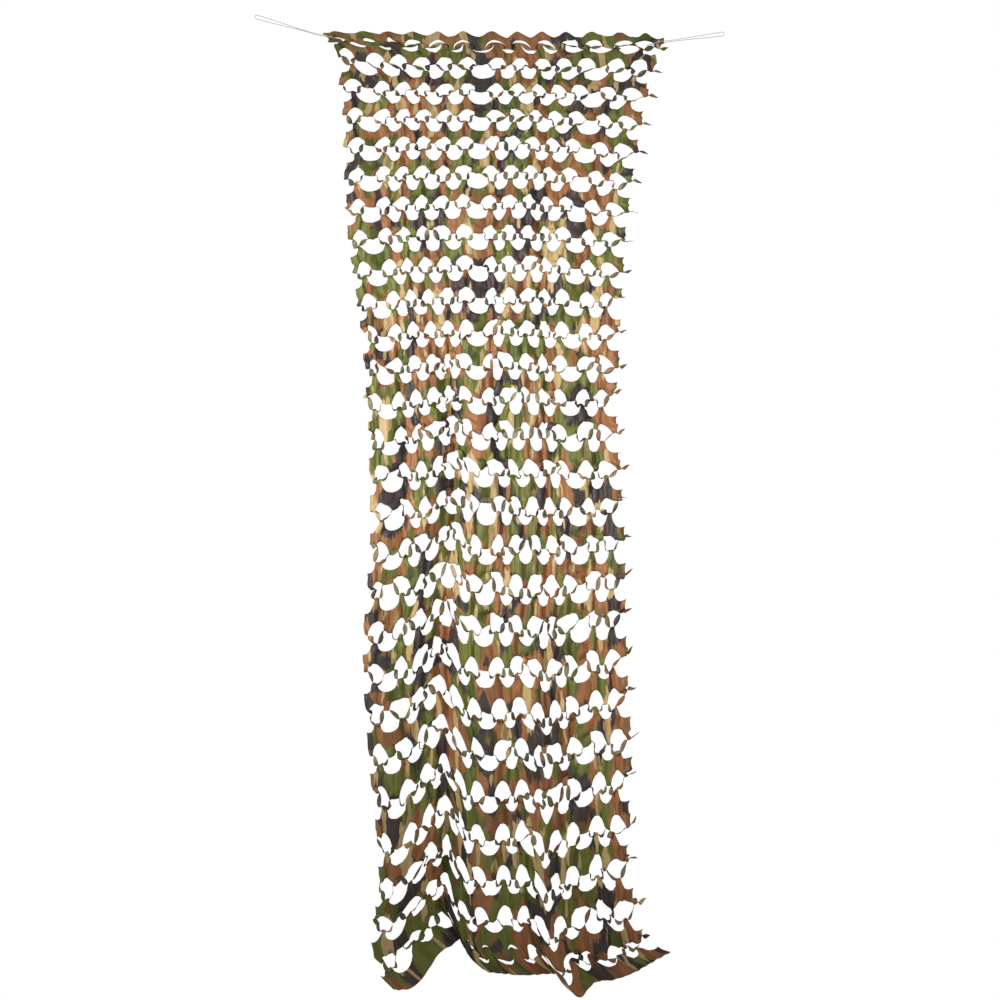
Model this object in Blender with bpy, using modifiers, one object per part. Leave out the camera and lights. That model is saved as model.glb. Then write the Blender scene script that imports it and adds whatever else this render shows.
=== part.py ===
"""A hung camouflage net: one sheet of die-cut cloth, pulled open by its own weight, with a tie string
at each top corner. Metres, +Z up. The net faces -Y, and the origin is the middle of its top edge."""

import math
import random
from collections import namedtuple

import bmesh
import bpy
from mathutils import Vector

# Cloth
SHEET = 0.0015  # thickness of the coated cloth with its gathers
ARCHES = 8  # arched gaps across one row
CUT_ROWS = 17  # rows of gaps from the top edge to the foot
STEPS = 4  # grid columns to one arch, and grid lines to one row
ARCH_STEPS = 3  # columns that one gap spans; the fourth is the neck beside it
COLUMNS = STEPS * ARCHES + 1
LINES = STEPS * CUT_ROWS + 1
SLIT_ROWS = 27.0  # levels below are counted in the cloth's own slit rows
FOOT_ROWS = 0.45  # the uncut margin at the foot, in the same rows

# One row, as shares of its height when fully open
RIBBON = 0.12  # the strip that zigzags between the arches and the bowls
GAP = 0.415  # height of an arch or a bowl
SHOULDER = 0.46  # how far an arch's shoulders lie below its crown, as a share of the gap
SPREAD = 0.24  # how far the crown points spread, in columns
TOP_BAND = 0.15  # the narrow band over the first row
UNEVEN = 0.16  # how much gaps differ in height
SCALLOP = 0.011  # depth of the scallops along the cut top edge
SEED = 4

# The hung outline. Drops lower the ends of a row against its middle. Puckers are small upright waves.
Level = namedtuple("Level", "row height left right left_drop right_drop opening pucker")
LEVELS = (
    Level(0.0, 0.000, -0.538, 0.538, 0.000, 0.007, 0.42, 0.000),
    Level(1.0, -0.071, -0.496, 0.513, -0.032, 0.005, 0.45, 0.001),
    Level(2.0, -0.151, -0.473, 0.484, -0.020, 0.016, 0.75, 0.004),
    Level(4.0, -0.315, -0.457, 0.454, 0.002, 0.030, 0.90, 0.007),
    Level(7.0, -0.591, -0.452, 0.415, 0.019, 0.030, 1.00, 0.010),
    Level(10.0, -0.888, -0.412, 0.400, 0.022, 0.022, 1.00, 0.012),
    Level(13.0, -1.208, -0.388, 0.387, 0.019, 0.006, 1.00, 0.014),
    Level(16.0, -1.558, -0.380, 0.412, 0.021, 0.000, 1.00, 0.014),
    Level(19.0, -1.934, -0.402, 0.418, 0.021, -0.024, 1.00, 0.012),
    Level(22.0, -2.322, -0.378, 0.434, 0.004, -0.037, 1.00, 0.012),
    Level(24.0, -2.588, -0.352, 0.420, 0.025, -0.030, 1.00, 0.012),
    Level(26.0, -2.826, -0.370, 0.470, 0.020, -0.006, 0.75, 0.008),
    Level(27.0, -2.905, -0.345, 0.520, 0.030, -0.046, 0.40, 0.006),
    Level(27.45, -2.942, -0.300, 0.560, 0.038, -0.066, 0.40, 0.004),
)
END_BEND = 2.6  # how sharply a row bends towards its ends
PUCKERS = 5.3  # small upright waves across the net

# Main folds. They grow evenly from the row where they start. Depth is towards -Y, and lift raises the rows.
Fold = namedtuple("Fold", "start_row share_at_start share_at_foot half_width depth lift")
FOLDS = (
    Fold(12.0, 0.05, 0.06, 0.100, 0.060, -0.006),  # the left corner swings forward
    Fold(11.0, 0.37, 0.255, 0.045, -0.070, 0.075),  # the deep hollow left of the middle
    Fold(11.0, 0.34, 0.175, 0.070, -0.055, 0.078),  # and its shallow side, towards the left corner
    Fold(13.0, 0.47, 0.480, 0.100, 0.040, 0.000),  # the flat middle panel
    Fold(12.0, 0.61, 0.610, 0.030, -0.028, 0.006),  # the sharp crease beside the billow
    Fold(17.0, 0.68, 0.675, 0.055, 0.095, -0.062),  # the billow that hangs lowest
    Fold(17.0, 0.74, 0.750, 0.070, 0.020, -0.025),  # and its slack right side
    Fold(17.0, 0.82, 0.850, 0.080, -0.045, 0.012),  # the hollow right of the billow
    Fold(2.0, 0.20, 0.200, 0.160, 0.014, 0.000),  # broad slow waves down the whole net
    Fold(2.0, 0.75, 0.560, 0.200, -0.016, 0.000),
)

# Ties: a soft string, doubled. It runs from the knot across the front of the corner, through the first
# gap, back behind the cloth, out to the bight that goes over a hook, and home to the knot.
STRING = 0.002
KNOT_RADIUS = 0.0035
KNOT_AT = {"left": (-0.5200, -0.00455, -0.0085), "right": (0.5220, -0.00455, -0.0268)}
TIE_ROUTE = {
    "left": (
        (-0.5163, -0.0044, -0.0094),
        (-0.5110, -0.0034, -0.0107),
        (-0.5020, -0.0025, -0.0128),
        (-0.4920, -0.0026, -0.0150),
        (-0.4800, -0.0038, -0.0176),
        (-0.4735, -0.0032, -0.0190),
        (-0.4710, 0.0000, -0.0197),
        (-0.4735, 0.0032, -0.0194),
        (-0.4800, 0.0036, -0.0180),
        (-0.4920, 0.0024, -0.0152),
        (-0.5080, 0.0021, -0.0118),
        (-0.5250, 0.0021, -0.0086),
        (-0.5400, 0.0015, -0.0062),
        (-0.5550, 0.0008, -0.0030),
        (-0.5780, 0.0000, 0.0038),
        (-0.6010, 0.0000, 0.0104),
        (-0.6350, 0.0000, 0.0187),
        (-0.6700, 0.0000, 0.0272),
        (-0.7050, 0.0000, 0.0361),
        (-0.7378, 0.0000, 0.0450),
        (-0.7413, 0.0000, 0.0479),
        (-0.7417, 0.0000, 0.0525),
        (-0.7388, 0.0000, 0.0560),
        (-0.7342, 0.0000, 0.0564),
        (-0.7050, 0.0000, 0.0473),
        (-0.6700, 0.0000, 0.0360),
        (-0.6350, 0.0000, 0.0243),
        (-0.6010, 0.0000, 0.0128),
        (-0.5780, -0.0003, 0.0062),
        (-0.5550, -0.0018, -0.0006),
        (-0.5380, -0.0036, -0.0048),
        (-0.5236, -0.0045, -0.0074),
    ),
    "right": (
        (0.5182, -0.0044, -0.0281),
        (0.5140, -0.0036, -0.0296),
        (0.5080, -0.0026, -0.0320),
        (0.5000, -0.0027, -0.0346),
        (0.4925, -0.0038, -0.0366),
        (0.4868, -0.0030, -0.0380),
        (0.4845, 0.0000, -0.0388),
        (0.4868, 0.0030, -0.0388),
        (0.4925, 0.0038, -0.0380),
        (0.5020, 0.0026, -0.0360),
        (0.5160, 0.0021, -0.0326),
        (0.5330, 0.0018, -0.0294),
        (0.5550, 0.0004, -0.0264),
        (0.6000, 0.0000, -0.0211),
        (0.6500, 0.0000, -0.0159),
        (0.6900, 0.0000, -0.0119),
        (0.7207, 0.0000, -0.0084),
        (0.7247, 0.0000, -0.0061),
        (0.7258, 0.0000, -0.0017),
        (0.7235, 0.0000, 0.0023),
        (0.7191, 0.0000, 0.0034),
        (0.6900, 0.0000, -0.0011),
        (0.6500, 0.0000, -0.0079),
        (0.6000, -0.0002, -0.0161),
        (0.5550, -0.0016, -0.0232),
        (0.5400, -0.0034, -0.0254),
        (0.5258, -0.0045, -0.0263),
    ),
}
POINTS_PER_SPAN = 2  # curve points to one span of a tie's route
KNOT_DETAIL = 2

CLOTH_COLOUR = (0.19, 0.17, 0.08, 1.0)
STRING_COLOUR = (0.80, 0.80, 0.76, 1.0)


def clear_scene():
    for item in list(bpy.data.objects):
        bpy.data.objects.remove(item, do_unlink=True)


def material(name, colour, roughness):
    made = bpy.data.materials.new(name)
    made.use_nodes = True
    shader = made.node_tree.nodes["Principled BSDF"]
    shader.inputs["Base Color"].default_value = colour
    shader.inputs["Roughness"].default_value = roughness
    shader.inputs["Metallic"].default_value = 0.0
    return made


def smooth(p0, p1, p2, p3, t):
    """A Catmull-Rom span from p1 to p2, for numbers or vectors."""
    bend = 2 * p0 - 5 * p1 + 4 * p2 - p3
    turn = 3 * p1 - p0 - 3 * p2 + p3
    return p1 + 0.5 * t * ((p2 - p0) + t * (bend + t * turn))


def level_at(row):
    """Every column of LEVELS at that slit row, read from a smooth curve through the table."""
    row = min(max(row, LEVELS[0].row), LEVELS[-1].row)
    below = next(i for i in range(1, len(LEVELS)) if row <= LEVELS[i].row)
    low, high = LEVELS[below - 1], LEVELS[below]
    t = (row - low.row) / (high.row - low.row)
    before = LEVELS[max(below - 2, 0)]
    after = LEVELS[min(below + 1, len(LEVELS) - 1)]
    span = high.row - low.row
    # Slopes are per row, so uneven spacing of the levels doesn't make the curve overshoot.
    values = [row]
    for name in Level._fields[1:]:
        a, b = getattr(low, name), getattr(high, name)
        start = slope(getattr(before, name), b, before.row, high.row) * span
        end = slope(a, getattr(after, name), low.row, after.row) * span
        ease = t * t * (3 - 2 * t)
        values.append(
            a + (b - a) * ease + start * t * (1 - t) ** 2 - end * t * t * (1 - t)
        )
    return Level(*values)


def slope(first, last, first_row, last_row):
    return (last - first) / (last_row - first_row)


def hung(share, row):
    """The place of a point of the cloth: share runs 0 to 1 across, row counts slit rows down."""
    level = level_at(row)
    x = level.left + (level.right - level.left) * share
    z = level.height
    z -= level.left_drop * max(1 - 2 * share, 0) ** END_BEND
    z -= level.right_drop * max(2 * share - 1, 0) ** END_BEND
    forward = level.pucker * math.sin(math.tau * PUCKERS * share + 0.7 * math.sin(0.8 * row))
    for fold in FOLDS:
        grown = (row - fold.start_row) / (LEVELS[-1].row - fold.start_row)
        if grown <= 0:
            continue
        middle = fold.share_at_start + (fold.share_at_foot - fold.share_at_start) * grown
        hump = math.exp(-(((share - middle) / fold.half_width) ** 2))
        forward += fold.depth * grown * hump
        z += fold.lift * grown * hump
    return Vector((x, -forward, z))


def grid_row(line, opening):
    """Where a grid line lies, in shares of its row's height, for a row opened that far."""
    gap = GAP * opening
    band = (1 - RIBBON - 2 * gap) / 2
    return {1: band, 2: band + gap, 3: band + gap + RIBBON, 0: 1 - band}[line % STEPS]


def net_point(column, line, sizes):
    """The hung place of one grid vertex, with the gaps' arched outlines worked in."""
    row_height = SLIT_ROWS / CUT_ROWS
    if line == 0:
        peak = 0.5 + 0.5 * math.cos(math.tau * (column - 2.5) / STEPS)
        if column in (0, COLUMNS):
            peak = 1.0
        return hung(column / COLUMNS, 0.0) - Vector((0, 0, SCALLOP * (1 - peak)))
    if line == LINES:
        return hung(column / COLUMNS, SLIT_ROWS + FOOT_ROWS)
    cut_row = (line - 1) // STEPS
    opening = level_at((cut_row + 0.5) * row_height).opening
    place = grid_row(line, opening)
    gap = GAP * opening
    if cut_row == 0 and line % STEPS == 1:
        place = TOP_BAND
    across = float(column)
    phase = column % STEPS
    arch = (column - 1) // STEPS
    if line % STEPS == 1:
        # crown of an arch: shoulders at phases 1 and 0, crown points at 2 and 3
        place += gap * sizes[cut_row][arch] * (1 if phase in (2, 3) else 0)
        place += gap * SHOULDER * (1 if phase in (0, 1) else 0)
        across += {2: -SPREAD, 3: SPREAD}.get(phase, 0)
    if line % STEPS == 0:
        # foot of a bowl: shoulders at phases 2 and 3, lowest points at 0 and 1
        place -= gap * sizes[cut_row][arch] * (1 if phase in (0, 1) else 0)
        place -= gap * SHOULDER * (1 if phase in (2, 3) else 0)
        across += {0: -SPREAD, 1: SPREAD}.get(phase, 0)
    across = min(max(across, 0), COLUMNS)
    return hung(across / COLUMNS, (cut_row + place) * row_height)


def is_gap(column, line):
    """Whether the grid cell right of that column and below that line is an arch or a bowl."""
    if line >= LINES - 1:
        return False
    arch_cell = line % STEPS == 1 and (column - 1) % STEPS < ARCH_STEPS
    bowl_cell = line % STEPS == 3 and (column - 3) % STEPS < ARCH_STEPS
    arch_cell = arch_cell and 1 <= column <= STEPS * ARCHES
    return arch_cell or bowl_cell


def make_net(collection):
    """A flat grid with the gaps taken out, moved to its hung shape and thickened."""
    chance = random.Random(SEED)
    sizes = [[chance.uniform(0, UNEVEN) for _ in range(-1, ARCHES + 2)] for _ in range(CUT_ROWS)]
    sheet = bmesh.new()
    bmesh.ops.create_grid(sheet, x_segments=COLUMNS, y_segments=LINES, size=0.5)

    def step_of(co):
        return round((co.x + 0.5) * COLUMNS), round((0.5 - co.y) * LINES)

    gaps = []
    for face in sheet.faces:
        column = min(step_of(vert.co)[0] for vert in face.verts)
        line = min(step_of(vert.co)[1] for vert in face.verts)
        if is_gap(column, line):
            gaps.append(face)
    bmesh.ops.delete(sheet, geom=gaps, context="FACES")
    for vert in sheet.verts:
        column, line = step_of(vert.co)
        vert.co = net_point(column, line, sizes)
    bmesh.ops.triangulate(sheet, faces=sheet.faces, quad_method="SHORT_EDGE")
    mesh = bpy.data.meshes.new("net")
    sheet.to_mesh(mesh)
    sheet.free()
    net = bpy.data.objects.new("net", mesh)
    mesh.materials.append(material("net_cloth", CLOTH_COLOUR, 0.6))
    thicken = net.modifiers.new("cloth thickness", "SOLIDIFY")
    thicken.thickness = SHEET
    thicken.offset = 0.0
    thicken.use_even_offset = True
    collection.objects.link(net)
    return net


def along_route(route):
    """Points on a smooth curve through a tie's own points."""
    points = [Vector(point) for point in route]
    ends = [points[0]] + points + [points[-1]]
    found = []
    for i in range(len(points) - 1):
        for step in range(POINTS_PER_SPAN):
            found.append(smooth(*ends[i : i + 4], step / POINTS_PER_SPAN))
    return found + [points[-1]]


def make_tie(side, collection, finish):
    curve = bpy.data.curves.new(f"tie_{side}", "CURVE")
    curve.dimensions = "3D"
    curve.bevel_depth = STRING / 2
    curve.bevel_resolution = 2
    curve.use_fill_caps = True
    points = along_route(TIE_ROUTE[side])
    spline = curve.splines.new("POLY")
    spline.points.add(len(points) - 1)
    for point, place in zip(spline.points, points):
        point.co = (*place, 1.0)
    curve.materials.append(finish)
    tie = bpy.data.objects.new(f"tie_{side}", curve)
    collection.objects.link(tie)
    return tie


def make_knot(side, collection, finish):
    ball = bmesh.new()
    bmesh.ops.create_icosphere(ball, subdivisions=KNOT_DETAIL, radius=KNOT_RADIUS)
    mesh = bpy.data.meshes.new(f"tie_{side}_knot")
    ball.to_mesh(mesh)
    ball.free()
    mesh.materials.append(finish)
    mesh.shade_smooth()
    knot = bpy.data.objects.new(f"tie_{side}_knot", mesh)
    knot.location = KNOT_AT[side]
    collection.objects.link(knot)
    return knot


def main():
    clear_scene()
    collection = bpy.data.collections.new("camouflage net")
    bpy.context.scene.collection.children.link(collection)
    hanger = bpy.data.objects.new("top_edge", None)
    collection.objects.link(hanger)
    finish = material("tie_string", STRING_COLOUR, 0.7)
    pieces = [make_net(collection)]
    for side in TIE_ROUTE:
        pieces.append(make_tie(side, collection, finish))
        pieces.append(make_knot(side, collection, finish))
    for piece in pieces:
        piece.parent = hanger


main()
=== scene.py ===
"""Dressed scene of the hung camouflage net: die-cut cloth pulled open, and its two corner ties.

Metres, +Z up. The net faces -Y, and the origin is the middle of its top edge. The cloth starts as the
flat cut sheet, is drawn out row by row until its slits open, and is then laid on the hung folds.
"""

import math
import random
from collections import namedtuple

import bmesh
import bpy
import numpy as np
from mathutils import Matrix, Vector
from mathutils.geometry import delaunay_2d_cdt
from mathutils.kdtree import KDTree


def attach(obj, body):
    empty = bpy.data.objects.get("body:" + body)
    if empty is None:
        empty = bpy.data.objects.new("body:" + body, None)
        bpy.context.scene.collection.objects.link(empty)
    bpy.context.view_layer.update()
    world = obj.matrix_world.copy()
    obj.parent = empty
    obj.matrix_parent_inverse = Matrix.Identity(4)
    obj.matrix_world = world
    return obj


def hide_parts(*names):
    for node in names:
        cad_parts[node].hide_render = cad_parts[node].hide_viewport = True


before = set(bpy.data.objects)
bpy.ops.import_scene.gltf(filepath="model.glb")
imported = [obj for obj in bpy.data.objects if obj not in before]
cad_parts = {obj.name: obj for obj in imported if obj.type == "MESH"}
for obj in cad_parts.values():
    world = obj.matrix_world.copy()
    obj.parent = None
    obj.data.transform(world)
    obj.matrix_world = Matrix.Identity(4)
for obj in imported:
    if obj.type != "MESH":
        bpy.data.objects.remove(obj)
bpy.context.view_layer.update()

# The hung outline, as in the solid but for its tight top left corner. Drops lower the ends of a row
# against its middle. Puckers are small upright waves.
Level = namedtuple("Level", "row height left right left_drop right_drop pucker")
LEVELS = (
    Level(0.0, 0.000, -0.543, 0.538, -0.002, 0.007, 0.000),
    Level(1.0, -0.071, -0.496, 0.513, -0.032, 0.005, 0.001),
    Level(2.0, -0.151, -0.473, 0.484, -0.020, 0.016, 0.004),
    Level(4.0, -0.315, -0.457, 0.454, 0.002, 0.030, 0.007),
    Level(7.0, -0.591, -0.452, 0.415, 0.019, 0.030, 0.010),
    Level(10.0, -0.888, -0.412, 0.400, 0.022, 0.022, 0.012),
    Level(13.0, -1.208, -0.388, 0.387, 0.019, 0.006, 0.014),
    Level(16.0, -1.558, -0.380, 0.412, 0.021, 0.000, 0.014),
    Level(19.0, -1.934, -0.402, 0.418, 0.021, -0.024, 0.012),
    Level(22.0, -2.322, -0.378, 0.434, 0.004, -0.037, 0.012),
    Level(24.0, -2.588, -0.352, 0.420, 0.025, -0.030, 0.012),
    Level(26.0, -2.826, -0.370, 0.470, 0.020, -0.006, 0.008),
    Level(27.0, -2.905, -0.345, 0.520, 0.030, -0.046, 0.006),
    Level(27.45, -2.942, -0.300, 0.560, 0.038, -0.066, 0.004),
)
END_BEND = 2.6  # how sharply a row bends towards its ends
PUCKERS = 5.3  # how many of the small upright waves stand across the net
PUCKER_SWAY = 0.7  # how far they wander sideways down the net, and how fast with each row, in radians
PUCKER_SWAY_RATE = 0.8

# Main folds. They grow evenly from the row where they start. Depth is towards -Y, and lift raises the
# rows. The billow is rounder than the solid's, and the foot beside it hangs lower.
Fold = namedtuple("Fold", "start_row share_at_start share_at_foot half_width depth lift")
FOLDS = (
    Fold(12.0, 0.05, 0.06, 0.100, 0.060, -0.006),  # the left corner swings forward
    Fold(11.0, 0.37, 0.255, 0.045, -0.070, 0.075),  # the deep hollow left of the middle
    Fold(11.0, 0.34, 0.175, 0.070, -0.055, 0.078),  # and its shallow side, towards the left corner
    Fold(13.0, 0.47, 0.480, 0.100, 0.040, 0.000),  # the flat middle panel
    Fold(12.0, 0.61, 0.610, 0.030, -0.028, 0.006),  # the sharp crease beside the billow
    Fold(17.0, 0.68, 0.660, 0.050, 0.085, -0.053),  # the billow that hangs lowest
    Fold(17.0, 0.74, 0.750, 0.070, 0.020, -0.025),  # and its slack right side
    Fold(17.0, 0.82, 0.850, 0.080, -0.045, 0.012),  # the hollow right of the billow
    Fold(24.5, 0.85, 0.850, 0.085, 0.000, -0.052),  # the foot sags below that hollow
    Fold(2.0, 0.20, 0.200, 0.160, 0.014, 0.000),  # broad slow waves down the whole net
    Fold(2.0, 0.75, 0.560, 0.200, -0.016, 0.000),
)

# The flat cut sheet. Flat places run across from its left edge and down from the line of its top edge.
WIDTH = 1.077
CUT_ROWS = 27  # rows of slits
SLIT_HALF = 0.031  # half the width of an arched slit
NECK = 0.0144  # between two neighbouring bowl slits
PITCH = 0.077  # from arch to arch
SEAM_PITCH = 0.094  # the same where one group of five arches meets the next
FIRST_ARCH = 0.045  # middle of the first arch, from the left edge
GROUP = 5  # arches in a group
TOP_BAND = 0.022  # uncut band over the first row of slits
FOOT_HOLD = 0.008  # the last band is led along a line this far below its slits
FOOT_HOLD_ROW = 27.2  # where that line hangs, in rows
FOOT_MARGIN = 0.014  # from that line to the foot's edge
PEAK = 0.006  # how far the points of the scalloped top edge rise over its line
SCALLOP = 0.018  # depth of its scallops, half their width, and how round they are
SCALLOP_HALF = 0.037
SCALLOP_ROUND = 1.3
TIGHT = (0.16, 0.44)  # flat widths where the tight left corner ends, and where the scallops are whole
TIGHT_DEPTH = 0.35  # share of a scallop's depth in that corner
SHUT = {0: (0.0, 0.25), CUT_ROWS - 1: (0.40, 0.60)}  # where the first and the last row are hardly cut
SHUT_STEPS = 3  # steps left uncut at each end of such a slit

# The cut rows, all flat sizes: from one row to the next, the heights of the arch and bowl slits, and how
# far the bowls reach up between the arches.
Cut = namedtuple("Cut", "row pitch arch bowl overlap")
CUTS = (
    Cut(0, 0.050, 0.031, 0.029, 0.025),
    Cut(2, 0.056, 0.034, 0.032, 0.028),
    Cut(8, 0.057, 0.035, 0.033, 0.029),
    Cut(14, 0.063, 0.036, 0.034, 0.030),
    Cut(24, 0.067, 0.036, 0.034, 0.030),
    Cut(26, 0.063, 0.034, 0.032, 0.028),
)

# The sheet's triangles. Clear distances are shares of a triangle's edge.
GRAIN = 0.0073  # edge of a triangle
SLIT_STEPS = 12  # chords in the curve of one slit
JITTER = 0.12  # how unevenly the loose points lie, as a share of the grain
SIDE_CLEAR = 0.3  # from the sides to the nearest loose point
EDGE_CLEAR = 0.4  # from the top edge and from the foot
SLIVER = 0.05  # triangles whose middles lie nearer than this to the top edge bridge its scallops
CONVEX = 0  # the triangulation fills the whole convex outline
SAME_PLACE = 1e-6  # points nearer than this are one

# How far each row is drawn out, in metres of height from one band's middle to the next, how wide it may
# be meanwhile, and how much of the band above it is led, up and down from its middle.
Drawn = namedtuple("Drawn", "row pitch width hold")
DRAWN = (
    Drawn(0, 0.070, 1.02, 0.0062),
    Drawn(1, 0.088, 0.90, 0.0062),
    Drawn(2, 0.094, 0.82, 0.0066),
    Drawn(8, 0.096, 0.82, 0.0078),
    Drawn(24, 0.099, 0.84, 0.0110),
    Drawn(25, 0.090, 0.86, 0.0110),
    Drawn(26, 0.063, 0.90, 0.0072),
)
BAND_ROWS = np.append(np.arange(CUT_ROWS, dtype=float), FOOT_HOLD_ROW)
STEM = 0.014  # half the width of cloth that folds up below each arch
STEM_GIVE = 1.45  # how much of the net's narrowing falls on the stems, the bowls and the seams' bowls
BOWL_GIVE = 0.85
SEAM_GIVE = 0.05
LEAST_SHOWN = 0.25  # no stem or bowl narrows to less than this share of its flat width
UNEVEN_GIVE = 0.60  # how unevenly the narrowing is spread
UNEVEN_ROW = 0.003  # how far the bands wander up and down, given at so many places across
UNEVEN_PLACES = 9
NOISE_ROWS = 4.0  # rows over which both change
FRINGE = 0.022  # cut ends this near the right edge, and this far from a band's middle, spring outwards
FRINGE_BAND = 0.014
FRINGE_PUSH = 0.00001  # in each sweep
FIRST_WAVE = 0.003  # the flat sheet starts with low waves over its arches, and slightly rough
FIRST_ROUGHNESS = 0.0006

# The cloth solver
STEPS = 300
DRAWING = 0.6  # share of the steps in which the sheet is drawn out; in the others it settles
SWEEPS = 4
PICKS = 4  # rounds in which one group of links is picked
KEPT_SPEED = 0.92  # from one step to the next
BEND_STIFFNESS = 0.06  # of the links across the edge between two triangles; the edges themselves have 1
LEAD_ACROSS = 0.10  # share of the way to its goal that a led point goes in each sweep
LEAD_DOWN = 0.25
LEAD_DEPTH = 0.995  # share of its depth that it keeps
SHORTEST = 1e-6  # no link counts as shorter
LEAN = 0.020  # loose strips stand out from the folds by no more than this
SHEET = 0.0006  # thickness
SEED = 11


def column(table, name):
    """One named column of a table."""
    return np.array([getattr(line, name) for line in table])


def level_table(rows):
    """The columns of LEVELS at those rows, read from a smooth curve through the table."""
    at = column(LEVELS, "row")
    found = {}
    for name in Level._fields[1:]:
        value = column(LEVELS, name)
        slope = np.empty_like(value)
        slope[1:-1] = (value[2:] - value[:-2]) / (at[2:] - at[:-2])
        slope[0] = (value[1] - value[0]) / (at[1] - at[0])
        slope[-1] = (value[-1] - value[-2]) / (at[-1] - at[-2])
        i = np.clip(np.searchsorted(at, rows) - 1, 0, len(at) - 2)
        span = at[i + 1] - at[i]
        t = np.clip((rows - at[i]) / span, 0, 1)
        found[name] = (
            value[i]
            + (value[i + 1] - value[i]) * t * t * (3 - 2 * t)
            + slope[i] * span * t * (1 - t) ** 2
            - slope[i + 1] * span * t * t * (1 - t)
        )
    return found


def hung(share, row):
    """Places on the hung net: share runs 0 to 1 across, row counts slit rows down."""
    level = level_table(row)
    x = level["left"] + (level["right"] - level["left"]) * share
    z = level["height"].copy()
    z -= level["left_drop"] * np.maximum(1 - 2 * share, 0) ** END_BEND
    z -= level["right_drop"] * np.maximum(2 * share - 1, 0) ** END_BEND
    sway = PUCKER_SWAY * np.sin(PUCKER_SWAY_RATE * row)
    forward = level["pucker"] * np.sin(math.tau * PUCKERS * share + sway)
    for fold in FOLDS:
        grown = np.maximum(row - fold.start_row, 0) / (LEVELS[-1].row - fold.start_row)
        middle = fold.share_at_start + (fold.share_at_foot - fold.share_at_start) * grown
        hump = np.exp(-(((share - middle) / fold.half_width) ** 2))
        forward += fold.depth * grown * hump
        z += fold.lift * grown * hump
    return np.column_stack([x, -forward, z])


def arch_centres():
    """Where the arch slits stand along the flat width, with one beyond each side edge."""
    centres = [FIRST_ARCH - PITCH, FIRST_ARCH]
    count = 0
    while centres[-1] < WIDTH + PITCH / 2:
        step = SEAM_PITCH if count % GROUP == 0 else PITCH
        centres.append(centres[-1] + step)
        count += 1
    return centres


ARCHES = arch_centres()
BOWLS = [(a + b) / 2 for a, b in zip(ARCHES, ARCHES[1:])]


def cut_rows():
    """Levels of every row of slits on the flat cloth: arch tops, arch feet, bowl ends, bowl bottoms."""
    rows = np.arange(CUT_ROWS)
    cut = Cut(*(np.interp(rows, column(CUTS, "row"), column(CUTS, name)) for name in Cut._fields))
    top = TOP_BAND + np.concatenate([[0], np.cumsum(cut.pitch)[:-1]])
    ends = top + cut.arch - cut.overlap
    return np.column_stack([top, top + cut.arch, ends, ends + cut.bowl]).tolist()


def slit(middle, half, ends, crown):
    """Points of one half-round slit, from its left end to its right end."""
    points = []
    for step in range(SLIT_STEPS + 1):
        angle = math.pi * step / SLIT_STEPS
        points.append((middle - half * math.cos(angle), ends + (crown - ends) * math.sin(angle)))
    return points


def part_of_shut(points, start, end):
    """A slit, left mostly uncut if it lies in that part of the flat width."""
    middle = (points[0][0] + points[-1][0]) / 2
    return points[SHUT_STEPS:-SHUT_STEPS] if start < middle < end else points


def clipped(points):
    """The part of a slit that lies on the cloth."""
    kept = []
    for here, there in zip(points, points[1:]):
        inside = [0 < place[0] < WIDTH for place in (here, there)]
        if inside[0]:
            kept.append(here)
        if inside[0] != inside[1]:
            edge = 0 if min(here[0], there[0]) < 0 else WIDTH
            share = (edge - here[0]) / (there[0] - here[0])
            kept.append((edge, here[1] + share * (there[1] - here[1])))
    if 0 < points[-1][0] < WIDTH:
        kept.append(points[-1])
    return kept


def top_line(along):
    """The cut edge along the top: scallops between its points, shallow in the tight left corner."""
    gap = min(abs(along - bowl) for bowl in BOWLS)
    depth = SCALLOP * np.interp(along, TIGHT, (TIGHT_DEPTH, 1))
    return -PEAK + depth * math.cos(math.pi / 2 * min(gap / SCALLOP_HALF, 1)) ** SCALLOP_ROUND


def band_middles():
    """Flat levels of the solid bands between the rows of slits, the top edge first."""
    rows = cut_rows()
    middles = [0.0]
    for here, below in zip(rows, rows[1:] + [None]):
        bowl_foot = here[-1]
        middles.append((bowl_foot + below[0]) / 2 if below else bowl_foot + FOOT_HOLD)
    return middles


def outline(foot):
    """The sheet's edge as a closed line: the scalloped top, then the right side, the foot and the left."""
    across = int(WIDTH / GRAIN)
    down = int(foot / GRAIN)
    top = [(WIDTH * i / across, top_line(WIDTH * i / across)) for i in range(across + 1)]
    start, end = top[0][1], top[-1][1]
    right = [(WIDTH, end + (foot - end) * i / down) for i in range(1, down)]
    bottom = [(WIDTH * (1 - i / across), foot) for i in range(across + 1)]
    left = [(0, foot + (start - foot) * i / down) for i in range(1, down)]
    return top + right + bottom + left + [top[0]]


def all_slits():
    """Every slit of the sheet as a line of points."""
    lines = []
    for row, (arch_top, arch_foot, bowl_end, bowl_foot) in enumerate(cut_rows()):
        slits = [slit(arch, SLIT_HALF, arch_foot, arch_top) for arch in ARCHES]
        for a, b in zip(ARCHES, ARCHES[1:]):
            slits.append(slit((a + b) / 2, (b - a - NECK) / 2, bowl_end, bowl_foot))
        if row in SHUT:
            slits = [part_of_shut(points, *SHUT[row]) for points in slits]
        lines += [line for line in map(clipped, slits) if len(line) > 1]
    return lines


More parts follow.
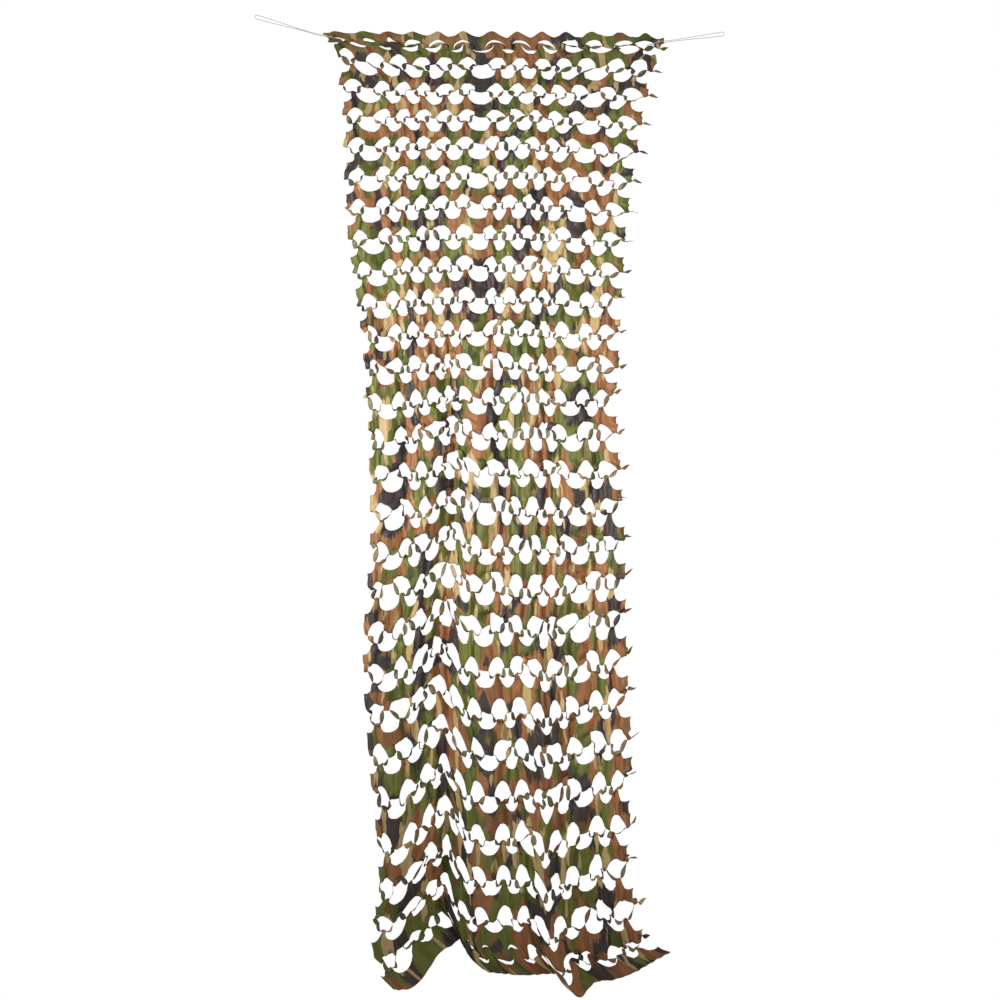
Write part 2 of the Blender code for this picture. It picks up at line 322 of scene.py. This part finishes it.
def loose_points(line_points, foot):
    """Slightly uneven points that fill the sheet between its edges and slits."""
    lines = KDTree(len(line_points))
    for i, point in enumerate(line_points):
        lines.insert((*point, 0), i)
    lines.balance()
    chance = random.Random(SEED)
    step_down = GRAIN * math.sqrt(3) / 2
    found = []
    for line in range(int(foot / step_down) + 2):
        for place in range(int(WIDTH / GRAIN) + 1):
            x = (place + line % 2 / 2 + chance.uniform(-JITTER, JITTER)) * GRAIN
            y = line * step_down - PEAK + chance.uniform(-JITTER, JITTER) * GRAIN
            on_cloth = top_line(x) + EDGE_CLEAR * GRAIN < y < foot - EDGE_CLEAR * GRAIN
            if on_cloth and SIDE_CLEAR * GRAIN < x < WIDTH - SIDE_CLEAR * GRAIN:
                if lines.find((x, y, 0))[2] > GRAIN / 2:
                    found.append((x, y))
    return found


def triangulated(foot):
    """Points and triangles of the flat sheet, and its pairs of points along a slit."""
    lines = [outline(foot)] + all_slits()
    points, edges = [], []
    for line in lines:
        first = len(points)
        points += line
        edges += [(i, i + 1) for i in range(first, len(points) - 1)]
    slits_from = len(lines[0]) - 1
    points += loose_points(points, foot)
    corners = [Vector(point) for point in points]
    made = delaunay_2d_cdt(corners, edges, [], CONVEX, SAME_PLACE)
    places, made_edges, faces, _, edge_sources, _ = made
    cut = set()
    for edge, sources in zip(made_edges, edge_sources):
        if any(slits_from <= source < len(edges) for source in sources):
            cut.add((min(edge), max(edge)))
    return places, faces, cut


def flat_sheet(foot):
    """The flat cloth as a mesh of even triangles, cut along every slit."""
    places, faces, cut = triangulated(foot)
    sheet = bmesh.new()
    verts = [sheet.verts.new((place.x, place.y, 0)) for place in places]
    for face in faces:
        middle = (places[face[0]] + places[face[1]] + places[face[2]]) / 3
        if top_line(middle.x) + SLIVER * GRAIN < middle.y < foot:
            sheet.faces.new([verts[i] for i in reversed(face)])
    sheet.verts.index_update()
    torn = []
    for edge in sheet.edges:
        ends = sorted(vert.index for vert in edge.verts)
        if tuple(ends) in cut and len(edge.link_faces) == 2:
            torn.append(edge)
    bmesh.ops.split_edges(sheet, edges=torn)
    bmesh.ops.delete(sheet, geom=[v for v in sheet.verts if not v.link_faces], context="VERTS")
    sheet.verts.index_update()
    return sheet


def without_shared(pairs, count):
    """Splits pairs of points into groups in which no point appears twice."""
    chance = np.random.default_rng(SEED)
    left = np.arange(len(pairs))
    groups = []
    while len(left):
        waiting = chance.permutation(left)
        free = np.ones(count, bool)
        picked = []
        for _ in range(PICKS):
            waiting = waiting[free[pairs[waiting, 0]] & free[pairs[waiting, 1]]]
            rank = np.arange(len(waiting))
            owner = np.full(count, len(pairs))
            np.minimum.at(owner, pairs[waiting, 0], rank)
            np.minimum.at(owner, pairs[waiting, 1], rank)
            wins = (owner[pairs[waiting, 0]] == rank) & (owner[pairs[waiting, 1]] == rank)
            picked.append(waiting[wins])
            free[pairs[waiting[wins]].ravel()] = False
            waiting = waiting[~wins]
        picked = np.concatenate(picked)
        groups.append(picked)
        left = np.setdiff1d(left, picked, assume_unique=True)
    return groups


def smooth_noise(chance, places, rows):
    """Random values from -1 to 1, one column for each place across, that change slowly down the rows."""
    knots = chance.uniform(-1, 1, (int(max(rows) / NOISE_ROWS) + 3, places))
    at = np.asarray(rows) / NOISE_ROWS
    low = at.astype(int)
    t = (at - low)[:, None]
    ease = t * t * (3 - 2 * t)
    return knots[low] * (1 - ease) + knots[low + 1] * ease


def drawn(name, rows):
    """One column of DRAWN at those rows."""
    return np.interp(rows, column(DRAWN, "row"), column(DRAWN, name))


def drawn_width(rows):
    """How wide each row is while it is drawn out: at most as wide as it hangs."""
    level = level_table(rows)
    return np.minimum(level["right"] - level["left"], drawn("width", rows))


def share_across(flat_x, band):
    """Where points of each band lie across the hung net: some columns fold up more than others.

    The net narrows mostly by folding up under its stems, so the bowls stay wide.
    """
    corners = sorted([arch - STEM for arch in ARCHES] + [arch + STEM for arch in ARCHES])
    widths = np.diff(corners)
    is_stem = np.arange(len(widths)) % 2 == 0
    is_seam = widths > (PITCH + SEAM_PITCH) / 2 - 2 * STEM
    rows = np.arange(CUT_ROWS + 1)
    narrowing = 1 - drawn_width(BAND_ROWS) / WIDTH
    noise = smooth_noise(np.random.default_rng(SEED), len(widths), rows)
    give = np.where(is_stem, STEM_GIVE, BOWL_GIVE) * (1 + UNEVEN_GIVE * noise)
    give = np.where(is_seam, SEAM_GIVE, give)
    shown = widths * np.maximum(1 - narrowing[:, None] * give, LEAST_SHOWN)
    edges = np.concatenate([np.zeros((len(rows), 1)), np.cumsum(shown, axis=1)], axis=1)
    share = np.empty(len(flat_x))
    for row in rows:
        mine = band == row
        start, end = np.interp([0, WIDTH], corners, edges[row])
        share[mine] = (np.interp(flat_x[mine], corners, edges[row]) - start) / (end - start)
    return share


def led_points(flat, foot, levels, chance):
    """Which points lead the sheet, how far across and up they end, and which others spring outwards.

    The led points lie along each band's middle and along the foot.
    """
    middles = np.array(band_middles())
    distance = np.abs(flat[:, 1][:, None] - middles)
    band = distance.argmin(1)
    distance = distance.min(1)
    led = np.where((distance < drawn("hold", band)) | (flat[:, 1] > foot - GRAIN / 2))[0]
    springs = np.where((distance > FRINGE_BAND) & (WIDTH - flat[:, 0] < FRINGE))[0]
    band = band[led]
    share = share_across(flat[led, 0], band)
    waves = smooth_noise(chance, UNEVEN_PLACES, np.arange(CUT_ROWS + 1))
    at = np.linspace(0, 1, UNEVEN_PLACES)
    wave = np.array([np.interp(s, at, waves[b]) for s, b in zip(share, band)])
    wave[band == 0] = 0
    goal_x = (share - 0.5) * drawn_width(BAND_ROWS)[band]
    goal_z = -(levels[band] + (flat[led, 1] - middles[band]) + UNEVEN_ROW * wave)
    return led, goal_x, goal_z, springs


def make_links(flat, edges, across_edges):
    """Links that keep the cloth's triangles their size and, more weakly, the cloth flat."""
    links = []
    for pairs, stiffness in ((edges, 1.0), (across_edges, BEND_STIFFNESS)):
        rest = np.linalg.norm(flat[pairs[:, 0]] - flat[pairs[:, 1]], axis=1)
        for group in without_shared(pairs, len(flat)):
            links.append((pairs[group, 0], pairs[group, 1], rest[group][:, None], stiffness / 2))
    return links


def draw_out(flat, edges, across_edges, foot):
    """Draws the flat sheet out until each band hangs at its level.

    Gives each point's share across, its row, its depth, and how far it lies past the last row.
    """
    levels = np.concatenate([[0], np.cumsum(drawn("pitch", np.arange(CUT_ROWS)))])
    chance = np.random.default_rng(SEED)
    led, goal_x, goal_z, springs = led_points(flat, foot, levels, chance)
    place = np.column_stack([flat[:, 0] - WIDTH / 2, np.zeros(len(flat)), -flat[:, 1]])
    start_x, start_z = place[led, 0], place[led, 2]
    near = np.abs(flat[:, 0][:, None] - np.array(ARCHES)).min(1)
    rough = chance.normal(0, FIRST_ROUGHNESS, len(flat))
    place[:, 1] = FIRST_WAVE * np.cos(math.tau * near / PITCH) + rough
    links = make_links(flat, edges, across_edges)
    last = place.copy()
    for step in range(STEPS):
        grown = min(1.0, (step + 1) / (DRAWING * STEPS))
        speed = (place - last) * KEPT_SPEED
        last = place.copy()
        place = place + speed
        for _ in range(SWEEPS):
            for a, b, rest, share in links:
                apart = place[a] - place[b]
                length = np.sqrt(np.einsum("ij,ij->i", apart, apart))[:, None]
                apart *= share * (length - rest) / np.maximum(length, SHORTEST)
                place[a] -= apart
                place[b] += apart
            place[led, 0] += (start_x + (goal_x - start_x) * grown - place[led, 0]) * LEAD_ACROSS
            place[led, 2] += (start_z + (goal_z - start_z) * grown - place[led, 2]) * LEAD_DOWN
            place[led, 1] *= LEAD_DEPTH
            place[springs, 0] += FRINGE_PUSH
    x, depth, down = place[:, 0], place[:, 1], -place[:, 2]
    row_at = np.append(BAND_ROWS, LEVELS[-1].row)
    drawn_at = np.append(levels, levels[-1] + FOOT_MARGIN)
    row = np.interp(down, drawn_at, row_at)
    return x / drawn_width(row) + 0.5, row, depth, down - np.clip(down, 0, drawn_at[-1])


def make_net():
    foot = band_middles()[-1] + FOOT_MARGIN
    sheet = flat_sheet(foot)
    flat = np.array([vert.co[:2] for vert in sheet.verts])
    edges = np.array([[vert.index for vert in edge.verts] for edge in sheet.edges])
    across_edges = []
    for edge in sheet.edges:
        if len(edge.link_faces) == 2:
            ends = [v.index for face in edge.link_faces for v in face.verts if v not in edge.verts]
            across_edges.append(ends)
    share, row, depth, beyond = draw_out(flat, edges, np.array(across_edges), foot)
    place = hung(share, row)
    place[:, 1] += LEAN * np.tanh(depth / LEAN)
    place[:, 2] -= beyond
    cloth = sheet.loops.layers.uv.new("cloth")
    for face in sheet.faces:
        face.smooth = True
        for loop in face.loops:
            loop[cloth].uv = flat[loop.vert.index]
    for vert, spot in zip(sheet.verts, place):
        vert.co = spot
    mesh = bpy.data.meshes.new("camouflage_net")
    sheet.to_mesh(mesh)
    sheet.free()
    net = bpy.data.objects.new("camouflage_net", mesh)
    bpy.context.collection.objects.link(net)
    mesh.materials.append(cloth_finish("net_print", "face"))
    mesh.materials.append(cloth_finish("net_reverse", "back"))
    thicken = net.modifiers.new("cloth thickness", "SOLIDIFY")
    thicken.thickness = SHEET
    thicken.offset = 0.0
    thicken.material_offset = 1
    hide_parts("net")
    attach(net, "root")


# Print colours, linear, for the cloth's face and its paler back. The first is the ground, and each later
# one is printed in blots over those before it: how many a metre holds across and down, and how much of
# the noise stays below them.
GROUND = {"face": (0.165, 0.175, 0.032), "back": (0.205, 0.205, 0.095)}  # olive green
Ink = namedtuple("Ink", "name face back across down threshold seed")
INKS = (
    Ink("deep green", (0.100, 0.116, 0.020), (0.145, 0.150, 0.072), 12.0, 8.0, 0.54, 1.3),
    Ink("rust", (0.360, 0.152, 0.056), (0.285, 0.190, 0.100), 10.0, 7.0, 0.515, 4.1),
    Ink("brown", (0.260, 0.110, 0.040), (0.210, 0.145, 0.082), 15.0, 7.0, 0.590, 6.4),
    Ink("dark", (0.062, 0.045, 0.040), (0.105, 0.090, 0.066), 11.0, 8.0, 0.565, 9.2),
    Ink("tan", (0.560, 0.400, 0.180), (0.345, 0.290, 0.165), 21.0, 7.0, 0.605, 7.7),
)
PRINT_EDGE = 0.006  # how softly one ink's edge runs out
BLOT_DETAIL = 1.5

# Patterns in the cloth: how many waves a metre holds across and down, the seed, and the detail.
Pattern = namedtuple("Pattern", "across down seed detail")
WANDER = Pattern(30.0, 22.0, 0.0, 3.0)  # moves the edges of the blots about
WANDER_REACH = (0.020, 0.020, 0)
STREAKS = Pattern(150.0, 9.0, 3.0, 1.5)  # the brushed look: the edges run up and down
STREAK_REACH = (0, 0.050, 0)
GATHERS = Pattern(130.0, 9.0, 5.0, 2.5)  # fine upright gathers
GATHER_DEPTH = 0.004
GATHER_STRENGTH = 0.8
CLOTH_ROUGHNESS = 0.5
CLOTH_SHINE = 0.4


class Nodes:
    """A short way to add and link shader nodes."""

    def __init__(self, name):
        self.material = bpy.data.materials.new(name)
        self.material.use_nodes = True
        self.tree = self.material.node_tree
        self.shader = self.tree.nodes["Principled BSDF"]

    def put(self, socket, value):
        """Links what comes from another node, and sets a plain value."""
        if isinstance(value, bpy.types.NodeSocket):
            self.tree.links.new(value, socket)
        else:
            socket.default_value = value

    def add(self, kind, inputs=(), **settings):
        node = self.tree.nodes.new("ShaderNode" + kind)
        for name, value in settings.items():
            setattr(node, name, value)
        for name, value in inputs:
            self.put(node.inputs[name], value)
        return node

    def shade(self, name, value):
        self.put(self.shader.inputs[name], value)

    def noise(self, vector, across, down, seed, detail):
        """Soft noise with so many waves a metre across and down."""
        place = [("Vector", vector), ("Location", (seed, 2 * seed, 0)), ("Scale", (across, down, 1))]
        spot = self.add("Mapping", place).outputs[0]
        return self.add("TexNoise", [("Vector", spot), ("Scale", 1.0), ("Detail", detail)])


# Sockets of a Mix node that mixes colours
MIX_FIRST = 6
MIX_SECOND = 7
MIX_RESULT = 2


def cloth_finish(name, side):
    """Brushed woodland print on gathered cloth, for the face or the paler back."""
    nodes = Nodes(name)
    cloth = nodes.add("UVMap", uv_map="cloth").outputs["UV"]

    def moved(places, pattern, reach):
        """Those places, moved about by a pattern in the cloth."""
        shift = nodes.noise(cloth, *pattern).outputs["Color"]
        shift = nodes.add("VectorMath", [(0, shift), (1, (0.5, 0.5, 0.5))], operation="SUBTRACT")
        shift = nodes.add("VectorMath", [(0, shift.outputs[0]), (1, reach)], operation="MULTIPLY")
        return nodes.add("VectorMath", [(0, places), (1, shift.outputs[0])], operation="ADD").outputs[0]

    wavy = moved(moved(cloth, WANDER, WANDER_REACH), STREAKS, STREAK_REACH)
    colour = (*GROUND[side], 1)
    for ink in INKS:
        blots = nodes.noise(wavy, ink.across, ink.down, ink.seed, BLOT_DETAIL).outputs["Fac"]
        ends = [("From Min", ink.threshold - PRINT_EDGE), ("From Max", ink.threshold + PRINT_EDGE)]
        printed = nodes.add("MapRange", [("Value", blots)] + ends).outputs[0]
        over = (*getattr(ink, side), 1)
        mixed = [("Factor", printed), (MIX_FIRST, colour), (MIX_SECOND, over)]
        colour = nodes.add("Mix", mixed, data_type="RGBA").outputs[MIX_RESULT]
    nodes.shade("Base Color", colour)
    height = nodes.noise(cloth, *GATHERS).outputs["Fac"]
    bump = [("Height", height), ("Strength", GATHER_STRENGTH), ("Distance", GATHER_DEPTH)]
    nodes.shade("Normal", nodes.add("Bump", bump).outputs[0])
    nodes.shade("Roughness", CLOTH_ROUGHNESS)
    nodes.shade("Specular IOR Level", CLOTH_SHINE)
    return nodes.material


# Ties: a soft string, doubled, with the route of the solid's ties.
STRING = 0.002
STRING_COLOUR = (0.72, 0.72, 0.69, 1)
STRING_ROUGHNESS = 0.8
STRING_ROUNDNESS = 3  # steps of the curve's bevel
KNOT_SIZE = 0.001  # a third of the knot's half width, from the middle of its string
KNOT_STEPS = 48
KNOT_AT = {"left": (-0.5200, -0.00455, -0.0085), "right": (0.5220, -0.00455, -0.0268)}
TIE_ROUTE = {
    "left": (
        (-0.5163, -0.0044, -0.0094),
        (-0.5110, -0.0034, -0.0107),
        (-0.5020, -0.0025, -0.0128),
        (-0.4920, -0.0026, -0.0150),
        (-0.4800, -0.0038, -0.0176),
        (-0.4735, -0.0032, -0.0190),
        (-0.4710, 0.0000, -0.0197),
        (-0.4735, 0.0032, -0.0194),
        (-0.4800, 0.0036, -0.0180),
        (-0.4920, 0.0024, -0.0152),
        (-0.5080, 0.0021, -0.0118),
        (-0.5250, 0.0021, -0.0086),
        (-0.5400, 0.0015, -0.0062),
        (-0.5550, 0.0008, -0.0030),
        (-0.5780, 0.0000, 0.0038),
        (-0.6010, 0.0000, 0.0104),
        (-0.6350, 0.0000, 0.0187),
        (-0.6700, 0.0000, 0.0272),
        (-0.7050, 0.0000, 0.0361),
        (-0.7378, 0.0000, 0.0450),
        (-0.7413, 0.0000, 0.0479),
        (-0.7417, 0.0000, 0.0525),
        (-0.7388, 0.0000, 0.0560),
        (-0.7342, 0.0000, 0.0564),
        (-0.7050, 0.0000, 0.0473),
        (-0.6700, 0.0000, 0.0360),
        (-0.6350, 0.0000, 0.0243),
        (-0.6010, 0.0000, 0.0128),
        (-0.5780, -0.0003, 0.0062),
        (-0.5550, -0.0018, -0.0006),
        (-0.5380, -0.0036, -0.0048),
        (-0.5236, -0.0045, -0.0074),
    ),
    "right": (
        (0.5182, -0.0044, -0.0281),
        (0.5140, -0.0036, -0.0296),
        (0.5080, -0.0026, -0.0320),
        (0.5000, -0.0027, -0.0346),
        (0.4925, -0.0038, -0.0366),
        (0.4868, -0.0030, -0.0380),
        (0.4845, 0.0000, -0.0388),
        (0.4868, 0.0030, -0.0388),
        (0.4925, 0.0038, -0.0380),
        (0.5020, 0.0026, -0.0360),
        (0.5160, 0.0021, -0.0326),
        (0.5330, 0.0018, -0.0294),
        (0.5550, 0.0004, -0.0264),
        (0.6000, 0.0000, -0.0211),
        (0.6500, 0.0000, -0.0159),
        (0.6900, 0.0000, -0.0119),
        (0.7207, 0.0000, -0.0084),
        (0.7247, 0.0000, -0.0061),
        (0.7258, 0.0000, -0.0017),
        (0.7235, 0.0000, 0.0023),
        (0.7191, 0.0000, 0.0034),
        (0.6900, 0.0000, -0.0011),
        (0.6500, 0.0000, -0.0079),
        (0.6000, -0.0002, -0.0161),
        (0.5550, -0.0016, -0.0232),
        (0.5400, -0.0034, -0.0254),
        (0.5258, -0.0045, -0.0263),
    ),
}
POINTS_PER_SPAN = 2  # on the smooth curve, for each of a route's points


def along_route(route):
    """Points on a smooth curve through a tie's own points."""
    points = [Vector(point) for point in route]
    ends = [points[0]] + points + [points[-1]]
    found = []
    for i in range(len(points) - 1):
        p0, p1, p2, p3 = ends[i : i + 4]
        for step in range(POINTS_PER_SPAN):
            t = step / POINTS_PER_SPAN
            bend = 2 * p0 - 5 * p1 + 4 * p2 - p3
            turn = 3 * p1 - p0 - 3 * p2 + p3
            found.append(p1 + 0.5 * t * ((p2 - p0) + t * (bend + t * turn)))
    return found + [points[-1]]


def string_finish():
    nodes = Nodes("string")
    nodes.shade("Base Color", STRING_COLOUR)
    nodes.shade("Roughness", STRING_ROUGHNESS)
    return nodes.material


def string_along(name, points, closed, finish):
    """A round string as a curve through those points."""
    curve = bpy.data.curves.new(name, "CURVE")
    curve.dimensions = "3D"
    curve.bevel_depth = STRING / 2
    curve.bevel_resolution = STRING_ROUNDNESS
    curve.use_fill_caps = not closed
    spline = curve.splines.new("POLY")
    spline.points.add(len(points) - 1)
    for point, place in zip(spline.points, points):
        point.co = (*place, 1.0)
    spline.use_cyclic_u = closed
    curve.materials.append(finish)
    string = bpy.data.objects.new(name, curve)
    bpy.context.collection.objects.link(string)
    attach(string, "root")
    return string


def make_knot(side, finish):
    """The overhand knot that joins the string's two ends, drawn tight."""
    points = []
    for step in range(KNOT_STEPS):
        t = math.tau * step / KNOT_STEPS
        across = math.sin(t) + 2 * math.sin(2 * t)
        up = math.cos(t) - 2 * math.cos(2 * t)
        points.append(Vector(KNOT_AT[side]) + KNOT_SIZE * Vector((across, -math.sin(3 * t), up)))
    knot = string_along(f"knot_{side}", points, True, finish)
    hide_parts(f"tie_{side}_knot")
    return knot


def make_tie(side, finish):
    """One corner's doubled string with its knot."""
    points = along_route(TIE_ROUTE[side])
    tie = string_along(f"string_{side}", points, False, finish)
    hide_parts(f"tie_{side}")
    make_knot(side, finish)


# The camera looks level at the net from in front.
CAMERA_AT = (0.025, -5.5, -1.461)
VIEW_WIDTH = 3.13  # how much of the net's plane the picture spans
SENSOR = 36.0

# A pale floor, and white surroundings that light the net only dimly
FLOOR_AT = (0.0, -0.8, -3.25)
FLOOR_SIZE = (5.0, 2.6, 1.0)
FLOOR_COLOUR = (0.85, 0.85, 0.85, 1)
FLOOR_ROUGHNESS = 0.9
BEHIND = (1, 1, 1, 1)
AROUND = (1.0, 0.98, 0.95, 1)
AMBIENT = 0.42
Lamp = namedtuple("Lamp", "name place aim size angle power")
LAMPS = (
    Lamp("key", (-3.0, -3.6, -0.5), (0.0, 0.0, -1.20), 0.35, 37.5, 810.0),
    Lamp("fill", (2.6, -4.2, -1.4), (0.0, 0.0, -1.15), 0.80, 46.0, 150.0),
)


def make_camera():
    data = bpy.data.cameras.new("camera")
    data.sensor_width = SENSOR
    data.lens = SENSOR * -CAMERA_AT[1] / VIEW_WIDTH
    camera = bpy.data.objects.new("camera", data)
    camera.location = CAMERA_AT
    camera.rotation_euler = (math.pi / 2, 0, 0)
    bpy.context.collection.objects.link(camera)
    bpy.context.scene.camera = camera


def make_floor():
    bpy.ops.mesh.primitive_plane_add(size=1, location=FLOOR_AT)
    floor = bpy.context.object
    floor.name = "floor"
    floor.scale = FLOOR_SIZE
    nodes = Nodes("floor")
    nodes.shade("Base Color", FLOOR_COLOUR)
    nodes.shade("Roughness", FLOOR_ROUGHNESS)
    floor.data.materials.append(nodes.material)


def make_surroundings():
    """White where the camera sees past the net, and a dimmer warm white all round for its light."""
    world = bpy.data.worlds.new("surroundings")
    world.use_nodes = True
    nodes = world.node_tree.nodes
    links = world.node_tree.links
    behind = nodes["Background"]
    behind.inputs["Color"].default_value = BEHIND
    around = nodes.new("ShaderNodeBackground")
    around.inputs["Color"].default_value = AROUND
    around.inputs["Strength"].default_value = AMBIENT
    seen = nodes.new("ShaderNodeLightPath")
    mix = nodes.new("ShaderNodeMixShader")
    links.new(seen.outputs["Is Camera Ray"], mix.inputs[0])
    links.new(around.outputs[0], mix.inputs[1])
    links.new(behind.outputs[0], mix.inputs[2])
    links.new(mix.outputs[0], nodes["World Output"].inputs[0])
    bpy.context.scene.world = world
    bpy.context.scene.view_settings.view_transform = "Standard"


def make_lamps():
    for lamp in LAMPS:
        data = bpy.data.lights.new(lamp.name, "SPOT")
        data.energy = lamp.power
        data.shadow_soft_size = lamp.size
        data.spot_size = math.radians(lamp.angle)
        data.spot_blend = 1.0
        light = bpy.data.objects.new(lamp.name, data)
        light.location = lamp.place
        aim = Vector(lamp.aim) - light.location
        light.rotation_euler = aim.to_track_quat("-Z", "Y").to_euler()
        bpy.context.collection.objects.link(light)


make_camera()
string = string_finish()
for side in TIE_ROUTE:
    make_tie(side, string)
make_net()
make_floor()
make_surroundings()
make_lamps()
